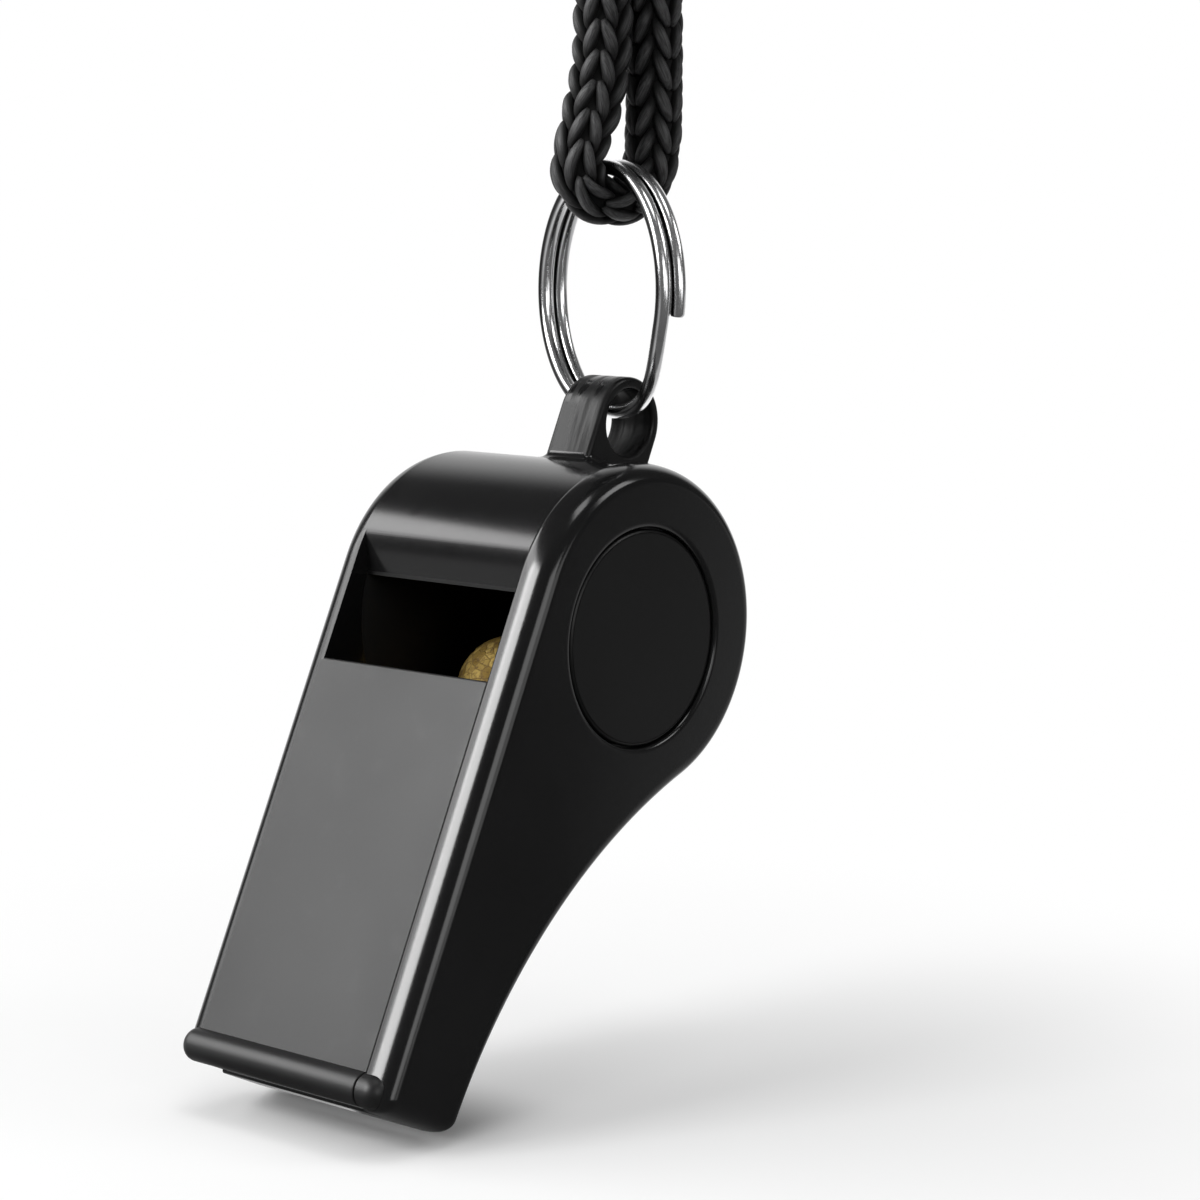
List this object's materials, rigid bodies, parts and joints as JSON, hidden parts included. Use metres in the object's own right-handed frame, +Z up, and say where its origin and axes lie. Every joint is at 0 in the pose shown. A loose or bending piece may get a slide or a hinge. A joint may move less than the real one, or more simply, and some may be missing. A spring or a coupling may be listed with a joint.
{
  "type": "pea whistle on a lanyard",
  "caption": "Moulded plastic pea whistle with a cork pea, hanging by its lug from a split ring on a knotted knitted lanyard.",
  "frame": {"origin": "top of the lanyard's knot, where the whistle is held up, straight above the split ring", "axes": "+Z up; the whistle's mouth end points down and towards -X; its width runs along Y, with the side cover facing -Y"},
  "size_m": [0.0393, 0.019, 0.091],
  "materials": {
    "shell": "black moulded, soft gloss",
    "disc": "black moulded, plain and blank",
    "cork": "bare cork",
    "ring": "bright nickel plated spring steel",
    "cord": "black knitted cord"
  },
  "bodies": {
    "lanyard": {"lanyard_cord": "cord", "lanyard_knot": "cord"},
    "ring": {"split_ring": "ring"},
    "whistle": {"body_shell": "shell", "side_cover": "shell", "blank_disc_right": "disc", "blank_disc_left": "disc"},
    "pea": {"pea": "cork"}
  },
  "joints": [
    {"name": "ring_swing", "type": "hinge", "parent": "lanyard", "child": "ring", "pos_m": [0, 0, -0.0315], "axis": [0.342, 0.9397, 0], "range_deg": [-30, 30]},
    {"name": "whistle_swing", "type": "hinge", "parent": "ring", "child": "whistle", "pos_m": [0.00015, 0.0004, -0.04862], "axis": [0, 1, 0], "range_deg": [-115, 64]},
    {"name": "pea_orbit", "type": "hinge", "parent": "whistle", "child": "pea", "pos_m": [-0.00603, 0.0007, -0.06152], "axis": [0, 1, 0], "continuous": true}
  ]
}
